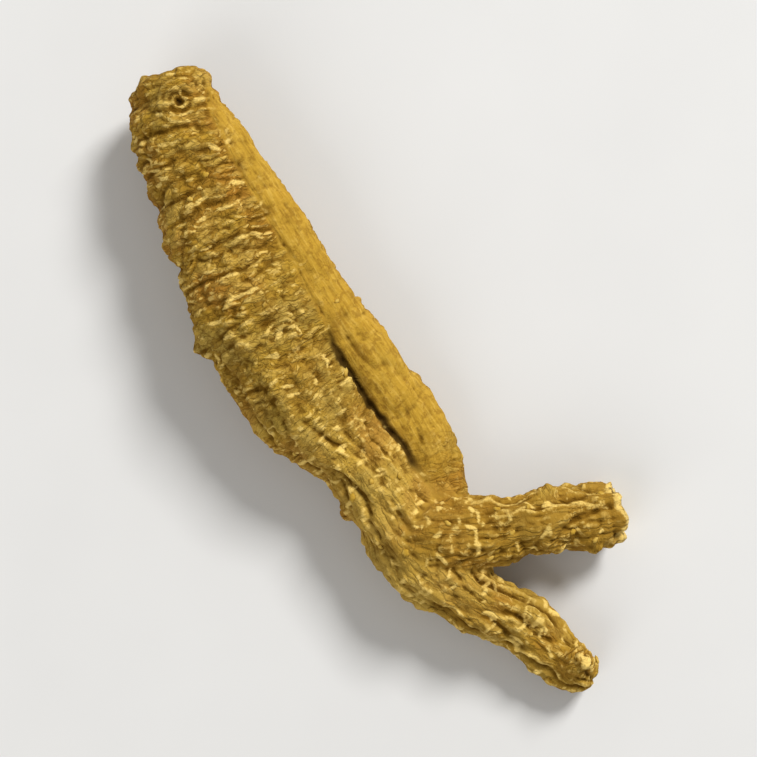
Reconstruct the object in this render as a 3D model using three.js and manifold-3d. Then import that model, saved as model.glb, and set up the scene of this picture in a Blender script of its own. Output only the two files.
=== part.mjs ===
// A dried ginseng root, lying on its side.
//
// The root grew as one piece, so it is one solid: a thick ringed trunk that bends and tapers into
// a lower leg, a smooth side lobe fused along the trunk's flank, a second leg that leaves the
// fork and ends in a cut, and a few stubs of broken rootlets. Every limb is a tube along a curve,
// with its wrinkles raised by a formula. The limbs are joined, the joints are smoothed, and the
// underside is cut flat where the root rests: under the belly, the lobe and the ends of the legs.
//
// Millimetres, +Z up. The origin is on the resting face under the belly, the trunk's thickest
// place. +X runs from the head to the tips of the legs.

import * as THREE from 'three';
import { mergeVertices } from 'three/addons/utils/BufferGeometryUtils.js';
import Module from 'manifold-3d';

// Driving dimensions. Each point of a limb is [x, y, z, radius] on its middle line.

const TRUNK = {
  points: [
    [-26.6, 6.6, 6.4, 4.7],
    [-22.9, 5.1, 6.4, 5.2],
    [-17.9, 3.8, 6.2, 5.8],
    [-11.4, 2.4, 6.0, 6.4],
    [-4.6, 1.0, 6.1, 6.8],
    [2.0, -0.4, 6.1, 6.8],
    [8.0, -0.8, 5.8, 6.0],
    [14.0, -0.2, 5.3, 5.0],
    [20.0, 0.4, 5.0, 4.7],
    [26.0, 0.3, 4.9, 4.9],
    [32.0, 0.1, 4.6, 4.7],
    [37.6, 1.3, 4.0, 4.1],
    [43.0, 3.6, 3.2, 3.5],
    [48.0, 5.4, 2.8, 3.0],
    [51.4, 6.4, 2.7, 2.6],
  ],
  sides: 32,
  step: 0.66,
  tipStep: 0.9,
  height: 0.94,
  start: 'head',
  end: 'round',
  ring: 0.42,
  ringCells: 4,
  ringEnd: 40,
  furrow: 0.55,
  furrows: 9,
  lump: 0.7,
  seed: 1,
  restAt: 27.2,
};

const LOBE = {
  points: [
    [-24.4, 9.2, 8.0, 1.2],
    [-19.0, 9.2, 7.9, 1.8],
    [-12.0, 8.9, 7.6, 2.2],
    [-5.0, 8.3, 7.1, 2.5],
    [2.0, 7.7, 6.2, 2.9],
    [9.0, 7.4, 5.1, 3.4],
    [16.0, 7.4, 3.6, 3.7],
    [22.0, 6.6, 3.2, 3.7],
    [26.6, 4.4, 3.3, 3.5],
    [30.0, 1.7, 3.6, 3.0],
  ],
  sides: 16,
  step: 1.1,
  tipStep: 1.1,
  height: 1.0,
  start: 'round',
  end: 'round',
  ring: 0.12,
  ringCells: 2,
  furrow: 0.25,
  furrows: 5,
  lump: 0.4,
  seed: 21,
};

// The flesh that fills the bottom of the groove between the trunk and the lobe.
const WEB = {
  points: [
    [-19.0, 7.0, 6.6, 1.8],
    [-10.0, 6.2, 6.0, 2.4],
    [-1.0, 5.2, 5.2, 2.9],
    [8.0, 4.0, 4.4, 3.1],
    [16.0, 3.8, 3.7, 3.1],
    [24.0, 3.0, 3.6, 3.0],
  ],
  sides: 10,
  step: 3,
  tipStep: 3,
  height: 1.0,
  start: 'round',
  end: 'round',
  ring: 0,
  ringCells: 2,
  furrow: 0,
  furrows: 2,
  lump: 0.3,
  seed: 61,
};

const SIDE_LEG = {
  points: [
    [27.6, -0.9, 5.9, 3.2],
    [29.6, 2.3, 6.3, 4.1],
    [31.9, 6.0, 6.3, 4.0],
    [34.6, 11.0, 5.5, 3.7],
    [37.2, 15.8, 4.0, 3.6],
    [39.4, 20.0, 2.9, 3.5],
  ],
  sides: 20,
  step: 0.9,
  tipStep: 0.9,
  height: 1.0,
  start: 'round',
  end: 'cut',
  ring: 0.22,
  ringCells: 3,
  furrow: 0.55,
  furrows: 6,
  lump: 0.3,
  seed: 41,
};

// Stubs of broken rootlets: where along a limb (0 to 1), the angle round it in degrees,
// the stub's length above the skin and its radius, and how far it leans towards the tip.
const STUBS = [
  { limb: TRUNK, along: 0.99, angle: 70, length: 0.9, radius: 1.15, lean: 0.3 },
  { limb: TRUNK, along: 0.62, angle: 190, length: 0.5, radius: 0.9, lean: 0.2 },
  { limb: TRUNK, along: 0.33, angle: 174, length: 0.4, radius: 0.85, lean: 0.1 },
  { limb: TRUNK, along: 0.45, angle: 265, length: 0.6, radius: 0.8, lean: 0.3 },
  { limb: SIDE_LEG, along: 0.66, angle: 28, length: 0.8, radius: 0.8, lean: 0.5 },
  { limb: SIDE_LEG, along: 0.86, angle: 150, length: 0.7, radius: 0.7, lean: 0.3 },
];
const STUB_SIDES = 8;
const STUB_ROOT = 1.6; // how deep a stub's foot lies under the skin
const STUB_FLARE = 1.5; // the foot's radius over the tip's

const RING_SPACING = 2.1; // along the trunk, between the growth rings
const RING_WIDTH = 0.3; // of a ring's crease, as a share of its noise
const RING_BEND = 0.9; // how far a ring wanders along the limb, and how far apart the bends are
const RING_BEND_LENGTH = 6;
const RING_LEAST = 0.3; // share of the rings' depth that is left on the legs
const RING_FADE = 0.45; // share of ringEnd where the rings start to fade
const FURROW_LENGTH = 9; // how far a lengthwise furrow runs before it bends or ends
const FURROW_WIDTH = 0.28; // of a furrow's crease, as a share of its noise
const FURROW_DRIFT = 0.35; // how far a furrow strays round the limb, in radians
const FURROW_DRIFT_LENGTH = 10;
const FURROW_LEAST = 0.4; // share of the furrows' depth at the start of a limb
const FURROW_RISE = [0.05, 0.6]; // shares of the limb's length between which they deepen
const LUMP_CELLS = 3; // lumps round a limb
const LUMP_SPACING = 7;
const CAP_RELIEF = 0.35; // share of the relief left at the very end of a limb
const REST_LENGTH = 5; // along the belly, the half length of the patch pressed smooth
const REST_TURN = 0.5; // round the belly, its half width in radians
const REST_EDGE = [0.6, 1.4]; // where its edge starts and ends, in half lengths
const SCAR_RADIUS = 1.9; // the stem scar on the head
const SCAR_DEPTH = 0.7;
const SCAR_EDGE = [0.35, 0.85]; // where its side starts and ends, in scar radii
const SCAR_RIM = 1.1; // where its rim stands, and how wide the rim is, in scar radii
const SCAR_RIM_WIDTH = 0.28;
const SCAR_RIM_HEIGHT = 0.32;
const SCAR_ANGLE = 78; // degrees round the trunk from its +Y side to its top
const SCAR_ALONG = 1.0; // from the head's end
const SEAM_REACH = 3; // rings of neighbours round a joint that are smoothed
const SEAM_PASSES = 8;
const SEAM_PULL = 0.5;
const SEAM_FADE = 0.6; // how much less each further ring of neighbours moves
const FLOOR = [200, 200, 20]; // the block that cuts the underside flat

// End profiles: [share of the radius, millimetres past the limb's end for each unit of radius].
const END_PROFILES = {
  round: [[0.97, 0.22], [0.86, 0.46], [0.66, 0.66], [0.38, 0.8], [0, 0.86]],
  head: [[0.99, 0.14], [0.93, 0.32], [0.78, 0.48], [0.52, 0.58], [0.25, 0.62], [0, 0.6]],
  cut: [[0.98, 0.06], [0.9, 0.12], [0.76, 0.0], [0.46, -0.12], [0, -0.15]],
};

const wasm = await Module();
wasm.setup();

// A fixed random number from 0 to 1 for each corner of a lattice.
function dice(i, j, seed) {
  const value = Math.sin(i * 127.1 + j * 311.7 + seed * 74.7) * 43758.5453;
  return value - Math.floor(value);
}

// Smooth gradient noise from about -1 to 1. `cells` whole cells go round the limb, so that the
// noise meets itself.
function noise(x, angle, cells, seed) {
  const y = (angle / (2 * Math.PI)) * cells;
  const [i, j] = [Math.floor(x), Math.floor(y)];
  const [u, v] = [x - i, y - j];
  const corner = (di, dj) => {
    const row = (((j + dj) % cells) + cells) % cells;
    const turn = 2 * Math.PI * dice(i + di, row, seed);
    return Math.cos(turn) * (u - di) + Math.sin(turn) * (v - dj);
  };
  const ease = (t) => t * t * t * (t * (t * 6 - 15) + 10);
  const low = THREE.MathUtils.lerp(corner(0, 0), corner(1, 0), ease(u));
  const high = THREE.MathUtils.lerp(corner(0, 1), corner(1, 1), ease(u));
  return 1.6 * THREE.MathUtils.lerp(low, high, ease(v));
}

function smoothstep(low, high, value) {
  const t = Math.min(1, Math.max(0, (value - low) / (high - low)));
  return t * t * (3 - 2 * t);
}

// A crease where the noise crosses nothing: -1 at its bottom, rising to a rounded ridge beside it.
function crease(value, width) {
  return 0.3 - 1.3 * Math.exp(-((value / width) ** 2));
}

// How far the skin stands out at a place on a limb, in millimetres.
function relief(limb, distance, angle, length) {
  const { ringEnd, ringCells, furrows, seed } = limb;
  const { lerp } = THREE.MathUtils;
  const lump = limb.lump * noise(distance / LUMP_SPACING, angle, LUMP_CELLS, seed);
  const ringed = ringEnd ? 1 - smoothstep(RING_FADE * ringEnd, ringEnd, distance) : 1;
  const bend = RING_BEND * noise(distance / RING_BEND_LENGTH, angle, 2, seed + 1);
  const rings = noise((distance + bend) / RING_SPACING, angle, ringCells, seed + 2);
  const ring = limb.ring * lerp(RING_LEAST, 1, ringed) * crease(rings, RING_WIDTH);
  const drift = FURROW_DRIFT * noise(distance / FURROW_DRIFT_LENGTH, angle, 2, seed + 3);
  const pleats = noise(distance / FURROW_LENGTH, angle + drift, furrows, seed + 4);
  const pleated = smoothstep(FURROW_RISE[0] * length, FURROW_RISE[1] * length, distance);
  const furrow = limb.furrow * lerp(FURROW_LEAST, 1, pleated) * crease(pleats, FURROW_WIDTH);
  return (lump + ring + furrow) * (1 - pressed(limb, distance, angle));
}

// From 0 to 1, how far the skin is pressed smooth where the belly rests.
function pressed(limb, distance, angle) {
  if (!limb.restAt) return 0;
  const along = (distance - limb.restAt) / REST_LENGTH;
  const round = (angle - 1.5 * Math.PI) / REST_TURN;
  return 1 - smoothstep(...REST_EDGE, Math.hypot(along, round));
}

// The middle line and the radius of a limb, with the frame across it. The frame never turns
// over, because every limb lies nearly flat: `side` is level and points to the limb's left.
function prepare(limb) {
  const centres = limb.points.map(([x, y, z]) => new THREE.Vector3(x, y, z));
  const line = new THREE.CatmullRomCurve3(centres, false, 'catmullrom');
  const sizes = limb.points.map((point) => new THREE.Vector3(point[3], 0, 0));
  const radii = new THREE.CatmullRomCurve3(sizes, false, 'catmullrom');
  line.arcLengthDivisions = 400;
  const length = line.getLength();
  function at(distance) {
    const clamped = Math.min(length, Math.max(0, distance));
    const t = line.getUtoTmapping(clamped / length);
    const centre = line.getPoint(t);
    const tangent = line.getTangent(t);
    centre.addScaledVector(tangent, distance - clamped);
    const side = new THREE.Vector3(0, 0, 1).cross(tangent).normalize();
    const up = tangent.clone().cross(side);
    return { centre, tangent, side, up, radius: radii.getPoint(t).x };
  }
  return { length, at };
}

// Places along a limb: its end profiles, and rings at the limb's step between them.
function stations(limb, length, at) {
  const first = at(0).radius;
  const last = at(length).radius;
  const places = END_PROFILES[limb.start].map(([share, past]) => [-past * first, share]).reverse();
  let distance = 0;
  while (distance < length - 0.4 * limb.tipStep) {
    places.push([distance, 1]);
    const tipward = smoothstep(0.5, 0.7, distance / length);
    distance += THREE.MathUtils.lerp(limb.step, limb.tipStep, tipward);
  }
  places.push([length, 1]);
  END_PROFILES[limb.end].forEach(([share, past]) => places.push([length + past * last, share]));
  return places;
}

// A closed geometry from rings of points, with a point at each end.
function skin(rings, startPoint, endPoint) {
  const sides = rings[0].length;
  const positions = [startPoint, ...rings.flat(), endPoint].flatMap((p) => [p.x, p.y, p.z]);
  const index = [];
  const at = (ring, side) => 1 + ring * sides + (side % sides);
  const last = rings.length - 1;
  const end = rings.length * sides + 1;
  for (let side = 0; side < sides; side += 1) {
    index.push(0, at(0, side + 1), at(0, side));
    for (let ring = 0; ring < last; ring += 1) {
      const [a, b] = [at(ring, side), at(ring, side + 1)];
      const [c, d] = [at(ring + 1, side + 1), at(ring + 1, side)];
      if ((ring + side) % 2) index.push(a, b, c, a, c, d);
      else index.push(a, b, d, b, c, d);
    }
    index.push(end, at(last, side), at(last, side + 1));
  }
  const geometry = new THREE.BufferGeometry();
  geometry.setAttribute('position', new THREE.Float32BufferAttribute(positions, 3));
  geometry.setIndex(index);
  return geometry;
}

// One point of a limb's skin.
function skinPoint(limb, length, at, distance, share, angle) {
  const { centre, side, up, radius } = at(distance);
  const raised = relief(limb, distance, angle, length) * THREE.MathUtils.lerp(CAP_RELIEF, 1, share);
  const out = Math.max(0, share * (radius + raised) - scar(limb, distance, angle, radius));
  return centre
    .addScaledVector(side, out * Math.cos(angle))
    .addScaledVector(up, out * Math.sin(angle) * limb.height);
}

// The dish that the dead stem left on top of the head, with a raised rim.
function scar(limb, distance, angle, radius) {
  if (limb !== TRUNK) return 0;
  const across = (angle - THREE.MathUtils.degToRad(SCAR_ANGLE)) * radius;
  const away = Math.hypot(distance - SCAR_ALONG, across) / SCAR_RADIUS;
  const dish = 1 - smoothstep(...SCAR_EDGE, away);
  const rim = Math.exp(-(((away - SCAR_RIM) / SCAR_RIM_WIDTH) ** 2));
  return SCAR_DEPTH * dish - SCAR_RIM_HEIGHT * rim;
}

function limbGeometry(limb) {
  const { length, at } = prepare(limb);
  const places = stations(limb, length, at);
  const rings = places
    .filter(([, share]) => share > 0)
    .map(([distance, share]) => Array.from({ length: limb.sides }, (_, k) => (
      skinPoint(limb, length, at, distance, share, (2 * Math.PI * k) / limb.sides))));
  const [first, last] = [places[0][0], places[places.length - 1][0]];
  return skin(rings, at(first).centre, at(last).centre);
}

// A tapered, rounded stub that leans towards the limb's tip.
function stubGeometry(stub) {
  const { length, at } = prepare(stub.limb);
  const distance = stub.along * length;
  const angle = THREE.MathUtils.degToRad(stub.angle);
  const { tangent, side, up } = at(distance);
  const foot = skinPoint(stub.limb, length, at, distance, 1, angle);
  const out = side.multiplyScalar(Math.cos(angle)).addScaledVector(up, Math.sin(angle));
  const along = out.clone().addScaledVector(tangent, stub.lean).normalize();
  const across = along.clone().cross(tangent).normalize();
  const other = along.clone().cross(across);
  const profile = [
    [-STUB_ROOT, STUB_FLARE], [0, STUB_FLARE * 0.92], [0.5 * stub.length, 1.1],
    [0.9 * stub.length, 0.8], [stub.length, 0.5],
  ];
  const rings = profile.map(([height, share]) => Array.from({ length: STUB_SIDES }, (_, k) => {
    const turn = (2 * Math.PI * k) / STUB_SIDES;
    const radius = stub.radius * share;
    return foot.clone()
      .addScaledVector(along, height)
      .addScaledVector(across, radius * Math.cos(turn))
      .addScaledVector(other, radius * Math.sin(turn));
  }));
  const tip = foot.clone().addScaledVector(along, stub.length * 1.04);
  return skin(rings, foot.clone().addScaledVector(along, -STUB_ROOT), tip);
}

function solid(geometry) {
  const clean = geometry.clone();
  clean.deleteAttribute('normal');
  clean.deleteAttribute('uv');
  const merged = mergeVertices(clean, 1e-4);
  const made = new wasm.Manifold(new wasm.Mesh({
    numProp: 3,
    vertProperties: merged.attributes.position.array,
    triVerts: new Uint32Array(merged.index.array),
  }));
  if (made.volume() <= 0) throw new Error('a body is inside out or empty');
  return made;
}

function geometryOf(made) {
  const mesh = made.getMesh();
  const geometry = new THREE.BufferGeometry();
  geometry.setAttribute('position', new THREE.Float32BufferAttribute(mesh.vertProperties, 3));
  geometry.setIndex(new THREE.BufferAttribute(new Uint32Array(mesh.triVerts), 1));
  return geometry;
}

// A point's name, to find the same point again in another mesh.
function place(array, i) {
  return Array.from(array.slice(3 * i, 3 * i + 3), (value) => value.toFixed(3)).join(',');
}

// Softens the creases where limbs join: the corners that the join made, and their neighbours.
function smoothJoints(geometry, limbs) {
  const position = geometry.attributes.position.array;
  const count = position.length / 3;
  const known = new Set();
  limbs.forEach((limb) => {
    const own = limb.attributes.position.array;
    for (let i = 0; i < own.length / 3; i += 1) known.add(place(own, i));
  });
  const near = Array.from({ length: count }, () => new Set());
  const { array } = geometry.index;
  for (let i = 0; i < array.length; i += 3) {
    for (let j = 0; j < 3; j += 1) {
      near[array[i + j]].add(array[i + (j + 1) % 3]);
      near[array[i + (j + 1) % 3]].add(array[i + j]);
    }
  }
  const reach = new Float32Array(count);
  for (let i = 0; i < count; i += 1) if (!known.has(place(position, i))) reach[i] = 1;
  for (let pass = 1; pass < SEAM_REACH; pass += 1) {
    const before = reach.slice();
    for (let i = 0; i < count; i += 1) {
      if (before[i]) continue;
      for (const j of near[i]) if (before[j]) reach[i] = Math.max(reach[i], before[j] * SEAM_FADE);
    }
  }
  for (let pass = 0; pass < SEAM_PASSES; pass += 1) {
    const before = position.slice();
    for (let i = 0; i < count; i += 1) {
      if (!reach[i]) continue;
      for (let axis = 0; axis < 3; axis += 1) {
        let mean = 0;
        for (const j of near[i]) mean += before[3 * j + axis];
        mean /= near[i].size;
        position[3 * i + axis] += SEAM_PULL * reach[i] * (mean - before[3 * i + axis]);
      }
    }
  }
  return geometry;
}

function rootGeometry() {
  const limbs = [...[TRUNK, LOBE, WEB, SIDE_LEG].map(limbGeometry), ...STUBS.map(stubGeometry)];
  const joined = limbs.map(solid).reduce((sum, next) => sum.add(next));
  const smooth = smoothJoints(geometryOf(joined), limbs);
  const floor = new THREE.BoxGeometry(...FLOOR).translate(0, 0, -FLOOR[2] / 2);
  return geometryOf(solid(smooth).subtract(solid(floor)));
}

const skinMaterial = new THREE.MeshStandardMaterial({ color: 0xa48232, roughness: 0.8, metalness: 0 });

const root = new THREE.Mesh(rootGeometry(), skinMaterial);
root.name = 'root';

const group = new THREE.Group();
group.add(root);

export default group;
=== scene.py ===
# A dried ginseng root, lying on its side on a pale table.
#
# The root grew as one piece, so its skin is one mesh. It is worked out from the same limbs as the
# solid: a trunk that tapers into a lower leg, a smooth lobe along the trunk's flank, a side leg
# that ends in a cut, and six stubs of rootlets. The limbs are melted together, and the groove
# beside the lobe is healed near the head and cracked near the fork. The large rings and furrows
# are raised by the solid's own formula. Fine plates, wrinkles, pale ridges and corky dashes are
# added to them. Small knobs where hair roots broke off are scattered over the skin.
#
# Lengths on the limbs are in millimetres. The finished meshes are in metres, like the frame.

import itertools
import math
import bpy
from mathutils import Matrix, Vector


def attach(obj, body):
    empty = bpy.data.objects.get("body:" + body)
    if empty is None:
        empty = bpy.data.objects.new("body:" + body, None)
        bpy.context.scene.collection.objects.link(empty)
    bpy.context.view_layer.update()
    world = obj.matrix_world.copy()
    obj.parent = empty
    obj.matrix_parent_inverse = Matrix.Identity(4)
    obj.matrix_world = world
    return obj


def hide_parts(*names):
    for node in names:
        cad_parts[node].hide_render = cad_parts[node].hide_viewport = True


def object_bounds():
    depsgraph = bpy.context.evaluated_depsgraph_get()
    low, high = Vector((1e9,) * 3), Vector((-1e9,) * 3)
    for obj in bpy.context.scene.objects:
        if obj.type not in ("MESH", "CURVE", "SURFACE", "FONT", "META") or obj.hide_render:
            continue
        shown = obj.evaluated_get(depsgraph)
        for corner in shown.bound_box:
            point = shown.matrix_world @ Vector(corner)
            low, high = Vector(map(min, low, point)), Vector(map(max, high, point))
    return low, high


bl_info = {
    "name": "Dried ginseng root",
    "version": (1, 0, 0),
    "blender": (4, 5, 0),
    "location": "3D View > Sidebar > Ginseng",
    "description": "Grows a forked, wrinkled ginseng root and sets it on a pale table",
    "category": "Add Mesh",
}

import bpy
import numpy as np
from bpy.props import FloatProperty, FloatVectorProperty, IntProperty, PointerProperty
from mathutils import Euler, Vector

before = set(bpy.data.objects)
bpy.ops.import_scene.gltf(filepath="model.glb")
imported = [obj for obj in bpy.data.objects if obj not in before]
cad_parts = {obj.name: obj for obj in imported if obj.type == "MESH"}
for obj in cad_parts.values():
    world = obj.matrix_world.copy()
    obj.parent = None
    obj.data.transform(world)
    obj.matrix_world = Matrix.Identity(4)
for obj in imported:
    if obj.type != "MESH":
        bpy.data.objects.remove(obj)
CAD_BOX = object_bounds()
MM = 0.001  # metres in a millimetre


def srgb(red, green, blue):
    """A colour from 0 to 255, as Blender's linear colour."""
    def linear(value):
        share = value / 255
        return share / 12.92 if share <= 0.04045 else ((share + 0.055) / 1.055) ** 2.4
    return (linear(red), linear(green), linear(blue))


# The limbs. Each point is x, y, z and radius on the middle line.

TRUNK_POINTS = [
    (-26.6, 6.6, 6.4, 4.7), (-22.9, 5.1, 6.4, 5.2), (-17.9, 3.8, 6.2, 5.8),
    (-11.4, 2.4, 6.0, 6.4), (-4.6, 1.0, 6.1, 6.8), (2.0, -0.4, 6.1, 6.8),
    (8.0, -0.8, 5.8, 6.0), (14.0, -0.2, 5.3, 5.0), (20.0, 0.4, 5.0, 4.7),
    (26.0, 0.3, 4.9, 4.9), (32.0, 0.1, 4.6, 4.7), (37.6, 1.3, 4.0, 4.1),
    (43.0, 3.6, 3.2, 3.5), (48.0, 5.4, 2.8, 3.0), (51.4, 6.4, 2.7, 2.6),
]
LOBE_POINTS = [
    (-24.4, 9.2, 8.0, 1.2), (-19.0, 9.2, 7.9, 1.8), (-12.0, 8.9, 7.6, 2.2),
    (-5.0, 8.3, 7.1, 2.5), (2.0, 7.7, 6.2, 2.9), (9.0, 7.4, 5.1, 3.4),
    (16.0, 7.4, 3.6, 3.7), (22.0, 6.6, 3.2, 3.7), (26.6, 4.4, 3.3, 3.5),
    (30.0, 1.7, 3.6, 3.0),
]
WEB_POINTS = [
    (-19.0, 7.0, 6.6, 1.8), (-10.0, 6.2, 6.0, 2.4), (-1.0, 5.2, 5.2, 2.9),
    (8.0, 4.0, 4.4, 3.1), (16.0, 3.8, 3.7, 3.1), (24.0, 3.0, 3.6, 3.0),
]
SIDE_LEG_POINTS = [
    (27.6, -0.9, 5.9, 3.2), (29.6, 2.3, 6.3, 4.1), (31.9, 6.0, 6.3, 4.0),
    (34.6, 11.0, 5.5, 3.7), (37.2, 15.8, 4.0, 3.6), (39.4, 20.0, 2.9, 3.5),
]

# The ends: how far a limb reaches past its last point for each unit of radius, and how square.
ENDS = {"round": (0.86, 2.0), "head": (0.6, 2.8), "cut": (0.12, 7.0)}
CAP_RINGS = [(0.5, 0.85), (0.85, 0.5)]  # rings of a tube's end: shares of radius, and of reach

# Stubs: limb, share along it, degrees round it, length, radius, and lean towards its tip.
STUBS = [
    ("trunk", 0.99, 70, 0.9, 1.15, 0.3),
    ("trunk", 0.62, 190, 0.5, 0.9, 0.2),
    ("trunk", 0.33, 174, 0.4, 0.85, 0.1),
    ("trunk", 0.45, 265, 0.6, 0.8, 0.3),
    ("side_leg", 0.66, 28, 0.8, 0.8, 0.5),
    ("side_leg", 0.86, 150, 0.7, 0.7, 0.3),
]
STUB_ROOT = 1.6  # how deep a stub's foot lies under the skin
STUB_SHAPE = [(0.0, 1.35), (0.5, 1.05), (0.8, 0.8)]  # shares of its length, and of its radius
STUB_FOOT = 1.5  # the same share of its radius, at its foot
STUB_ROUGH = 0.3

# The large relief, as in the solid.

RING_SPACING = 2.1  # between the large growth rings
RING_END = 40.0  # where along the trunk the large rings have faded
RING_FADE = 0.45  # the share of it where they start to
RING_LEAST = 0.3  # how much of them is left
RING_WIDTH = 0.3
RING_BEND = 0.9
RING_BEND_LENGTH = 6.0
FURROW_LENGTH = 9.0
FURROW_WIDTH = 0.28
FURROW_DRIFT = 0.35
FURROW_DRIFT_LENGTH = 10.0
FURROW_LEAST = 0.4  # how much of the furrows there is at the head
FURROW_RISE = (0.05, 0.6)  # shares of the limb where they deepen
BEND_CELLS = 2  # waves round a limb of what bends these
LUMP_SPACING = 7.0
LUMP_CELLS = 3
CAP_FADE = (0.1, 0.9)  # how far out on a limb's end the relief starts, and is whole
CREASE_RIDGE = 0.3  # the ridge beside a crease, for a crease one unit deep
REST_AT = 27.2  # along the trunk, the middle of the patch that rests on the table
REST_LENGTH = 5.0
REST_TURN = 0.5
REST_EDGE = (0.6, 1.4)
SCAR_RADIUS = 1.9  # the stem scar on the head
SCAR_TURN = math.radians(78)
SCAR_ALONG = 1.0
SCAR_EDGES = [(0.35, 0.85), (0.9, 1.9), (0.1, 0.34)]  # of its dish, rings and eye: shares of it
SCAR_RIM = (1.1, 0.28)
SCAR_RING_TURN = 15.0
SCAR_HEIGHTS = (0.32, -0.42, 0.1, -0.55)  # of its rim, dish, rings and eye

# The lobe and the groove beside it.

HEALED_SOFTNESS = 0.5  # more melting at the upper end of the groove beside the lobe
CRACK = (2.0, 8.0, 19.0, 26.0)  # x where the groove beside the lobe darkens, and fades again
CRACK_LEAST = 0.25  # how much of it there is elsewhere
CRACK_WIDTH = 0.75
CRACK_WANDER = 0.3
CRACK_DEPTH = 0.45
LOBE_FADE = (18.0, 27.0)  # x where the lobe's smooth skin turns into bark at the fork
LOBE_FADED = 0.85
LOBE_TURN = (-0.25, 0.35)  # how far it faces up where its smooth skin turns into bark below
LOBE_TURN_WANDER = 0.3
LOBE_BELOW = 0.25  # how much of its smooth skin is left there
LOBE_EDGE = [(-0.5, -0.3), (0.6, 0.4)]  # how deep in it its skin starts: usual, more if healed
LOBE_WANDER = {"lobe": (0.8, 0.8), "lobe_fine": (0.45, 0.35)}
LOBE_SMOOTH = 0.78  # how much less of the fine relief it has

# The fine relief.

LEG_RELIEF = (30.0, 52.0)  # along the trunk, where its relief turns into a leg's
LEG_COLOUR = (26.0, 60.0)
LEG_DASHES = (24.0, 40.0)
PATTERNS = {  # noise over the skin: the size of its lumps, and its draw
    "relief": (3.7, 41), "drift": (2.6, 3), "patches": (5.0, 6), "pleats": (3.1, 8),
    "strands": (1.0, 9), "folds": (1.0, 10), "lumps": (2.1, 11), "grain": (0.8, 12),
    "stubs": (0.9, 14), "tip": (0.9, 15), "joint": (1.2, 16), "joint_fine": (0.6, 18),
    "dashes": (0.9, 17), "cut": (1.9, 24), "cut_fine": (0.8, 23), "crests": (2.6, 31),
    "crest_gaps": (1.7, 32), "lobe": (1.9, 51), "lobe_fine": (0.8, 52), "lobe_turn": (3.0, 53),
    "groove": (1.2, 54),
}
RELIEF_WANDER = (0.16, 0.42)  # middle and reach of what makes the large relief uneven
FURROW_WANDER = 0.7
DRIFT = 0.75
PLATE_SHAPE = np.array((1.0, 2.7, 2.7))  # a plate across a limb: along it, sideways, upwards
SLIVER_SHAPE = np.array((3.6, 1.1, 1.1))  # a sliver along a leg
SLIVER_SHARE = 0.75  # how much of a leg's relief is slivers
PLATE_EDGE = 0.42
PLATE_HEIGHT = (0.55, 0.9)  # of the lowest plate, and how much more of the highest
PLATE_SINK = 0.4
PLATE_DRAW, SLIVER_DRAW = 61, 71
PATCH_LEAST = 0.45  # how much of the plates there is between their patches
PATCH_EDGE = 0.3
PLEAT_SHAPE = np.array((7.5, 1.25, 1.25))
PLEAT_DRIFT = 0.4
PLEAT_SHARES = {"body": 0.35, "lobe": 0.5}
STRAND = (0.25, 0.3)  # the noise on its crest, and its width
STRAND_HEIGHT = 0.7
FOLD = (-0.22, 0.18)
FOLD_STRETCH = (1.3, 0.62, 0.62)
FOLD_SHIFT = 11.3
LUMP_EDGE = (0.28, 0.75)
CREST_LINES = {  # pale ridges along a limb: turn round it, width, strength
    "side_leg": [(0.5, 0.38, 1.0), (1.15, 0.3, 0.75), (2.5, 0.3, 0.6)],
    "trunk": [(2.3, 0.44, 0.95), (2.75, 0.34, 0.6)],
}
CREST_START = {"side_leg": (6.0, 9.5), "trunk": (60.0, 65.0)}
CREST_HEIGHT = 0.26
CREST_GAPS = (-0.75, -0.1)
CREST_WANDER = 0.36
CREST_SHIFT = 9.0  # so that ridges at different turns wander in different ways
DASH_ON_SIDE_LEG, DASH_ON_LOBE = 0.9, 0.06  # how likely dashes are, for each on the trunk
DASH_BELOW = -0.6  # how far down the skin faces where there are none
DASH_TURN = (0.3, 0.5)  # how far they turn off the crossways, and how much more on a leg
DASH_STRENGTH = (0.3, 1.0)
DASH_EDGE = (0.4, 1.15)
DASH_WANDER = 0.5
DASH_BOW = 0.5
DASH_REACH = 1.2  # how far past its half length a dash may reach
DASH_CLUSTERS = [  # x, y, reach, how many more
    (29.0, 3.0, 5.5, 2.4), (-6.0, 1.0, 6.0, 1.2), (14.0, 0.7, 5.0, 2.3), (46.0, 4.0, 4.0, 1.5),
]
MARKS = [  # the large corky marks on top: x, y, half length, half width, turn off the crossways
    (-15.4, 2.9, 0.9, 0.25, 0.1), (-12.9, 4.5, 1.0, 0.25, -0.1), (-13.5, 1.5, 0.7, 0.25, 0.2),
    (-4.2, 0.3, 2.3, 0.26, 0.0), (1.5, 1.2, 0.8, 0.36, 0.6), (3.0, -0.6, 0.6, 0.45, 0.4),
    (27.1, 4.0, 0.5, 0.45, 0.0), (29.3, 7.0, 0.55, 0.4, 0.6), (31.0, 5.8, 0.9, 0.35, 1.1),
    (31.9, 1.2, 1.0, 0.35, 0.7), (34.0, 14.3, 0.9, 0.5, 1.2), (40.5, 1.8, 1.1, 0.6, 1.5),
    (44.6, 2.6, 0.8, 0.4, 1.3), (50.6, 7.2, 0.9, 0.7, 0.8),
]
MARK_STRENGTH = 1.15
DASH_ON_BARE = 0.8  # how much fainter dashes and marks are on smooth skin
CUT_FACE = (0.02, 0.08)  # how far past the leg's last point its cut face starts, and is whole
CUT_RIM = (-0.9, -0.1)
CUT_RAGGED = {"cut_fine": 0.5, "cut": 0.6}
CUT_DISH = 0.35  # how deep the cut end has shrunk at its middle
CUT_SMOOTH = 0.7
JOINT_SMOOTH = 0.85  # how much less fine relief there is where two limbs' grain meets
JOINT_RELIEF = {"joint": 0.26, "joint_fine": 0.16}

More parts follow.
